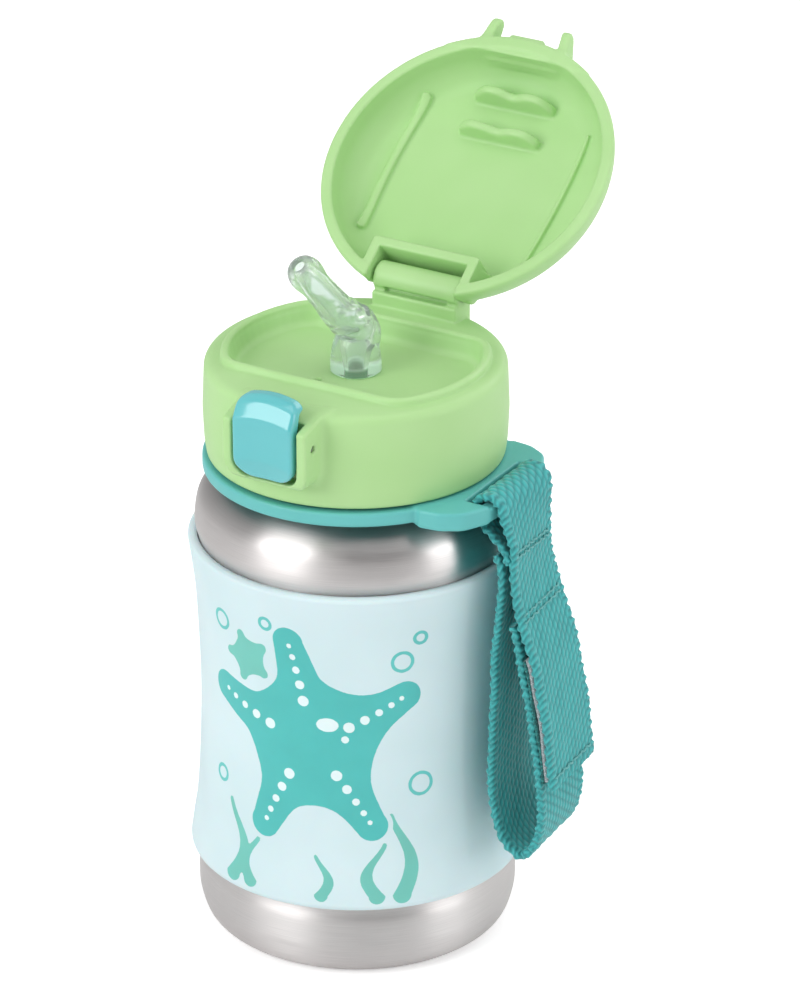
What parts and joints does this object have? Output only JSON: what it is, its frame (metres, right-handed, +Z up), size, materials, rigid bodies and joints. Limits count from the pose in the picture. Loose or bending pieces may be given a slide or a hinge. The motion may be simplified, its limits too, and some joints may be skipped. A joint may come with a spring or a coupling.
{
  "type": "children's insulated straw bottle",
  "caption": "Double-wall steel drinking bottle with a silicone sleeve, a screw lid with a fold-down straw spout, a push-latch flip cover and a webbing carry loop.",
  "frame": {"origin": "centre of the flat base, on the surface that the bottle stands on", "axes": "+Z up the bottle's axis, -Y towards the latch button, +Y towards the cover's hinge, +X towards the carry strap"},
  "size_m": [0.0937, 0.1209, 0.1884],
  "materials": {
    "steel_shell": "fine satin brushed stainless steel, brushed round the body",
    "steel_liner": "plain satin stainless steel",
    "sleeve_silicone": "matt pale aqua silicone with a printed sea pattern in a darker aqua",
    "lid_plastic": "soft satin moulded plastic, leaf green",
    "button_plastic": "glossy moulded plastic, turquoise",
    "ring_plastic": "satin moulded plastic, teal",
    "clear_silicone": "translucent soft silicone, pale aqua",
    "spring_steel": "plain drawn steel wire",
    "webbing": "coarse ribbed polyester webbing, teal",
    "loop_tape": "fuzzy loop tape, teal",
    "hook_tape": "stiff hook tape, grey"
  },
  "bodies": {
    "bottle": {"outer_shell": "steel_shell", "inner_liner": "steel_liner", "base_cap": "steel_shell", "grip_sleeve": "sleeve_silicone"},
    "straw_set": {"lid_gasket": "clear_silicone", "straw_tube": "clear_silicone"},
    "lid": {"lid_base": "lid_plastic", "spout_root": "clear_silicone", "vent_valve": "clear_silicone", "hinge_pin": "spring_steel", "hinge_spring": "spring_steel", "button_pin": "spring_steel", "button_spring": "spring_steel"},
    "cover": {"flip_cover": "lid_plastic"},
    "spout_tip": {"spout_tip": "clear_silicone"},
    "button": {"latch_button": "button_plastic"},
    "ring": {"strap_ring": "ring_plastic"},
    "strap": {"bar_loop_webbing": "webbing", "handle_loop_webbing": "webbing", "loop_tape": "loop_tape"},
    "strap_flap": {"flap_webbing": "webbing", "hook_tape": "hook_tape"}
  },
  "joints": [
    {"name": "thread_rise", "type": "slide", "parent": "bottle", "child": "straw_set", "axis": [0, 0, 1], "range_m": [0, 0.0062]},
    {"name": "lid_turn", "type": "hinge", "parent": "straw_set", "child": "lid", "pos_m": [0, 0, 0.12], "axis": [0, 0, 1], "range_deg": [0, 540]},
    {"name": "cover_hinge", "type": "hinge", "parent": "lid", "child": "cover", "pos_m": [0, 0.029, 0.1435], "axis": [1, 0, 0], "range_deg": [0, 142.5], "stiffness_Nm_per_rad": 0.006, "springref_deg": -34.38},
    {"name": "spout_fold", "type": "hinge", "parent": "lid", "child": "spout_tip", "pos_m": [0, 0, 0.1432], "axis": [0.9701, 0, 0.2425], "range_deg": [0, 53]},
    {"name": "button_press", "type": "hinge", "parent": "lid", "child": "button", "pos_m": [0, -0.0358, 0.131], "axis": [1, 0, 0], "range_deg": [0, 9], "stiffness_Nm_per_rad": 0.06, "springref_deg": -5.73},
    {"name": "ring_swivel", "type": "hinge", "parent": "bottle", "child": "ring", "pos_m": [0, 0, 0.113], "axis": [0, 0, 1], "continuous": true},
    {"name": "strap_swing", "type": "hinge", "parent": "ring", "child": "strap", "pos_m": [0.0396, 0, 0.11275], "axis": [0, -1, 0], "range_deg": [0, 80]},
    {"name": "flap_peel", "type": "hinge", "parent": "strap", "child": "strap_flap", "pos_m": [0.0474, 0, 0.08635], "axis": [0, -1, 0], "range_deg": [0, 80]}
  ],
  "couplings": [
    {"joint": "thread_rise", "follows": "lid_turn", "m_per_rad": 0.00063662},
    {"joint": "spout_fold", "follows": "cover_hinge", "ratio": 0.37168}
  ]
}
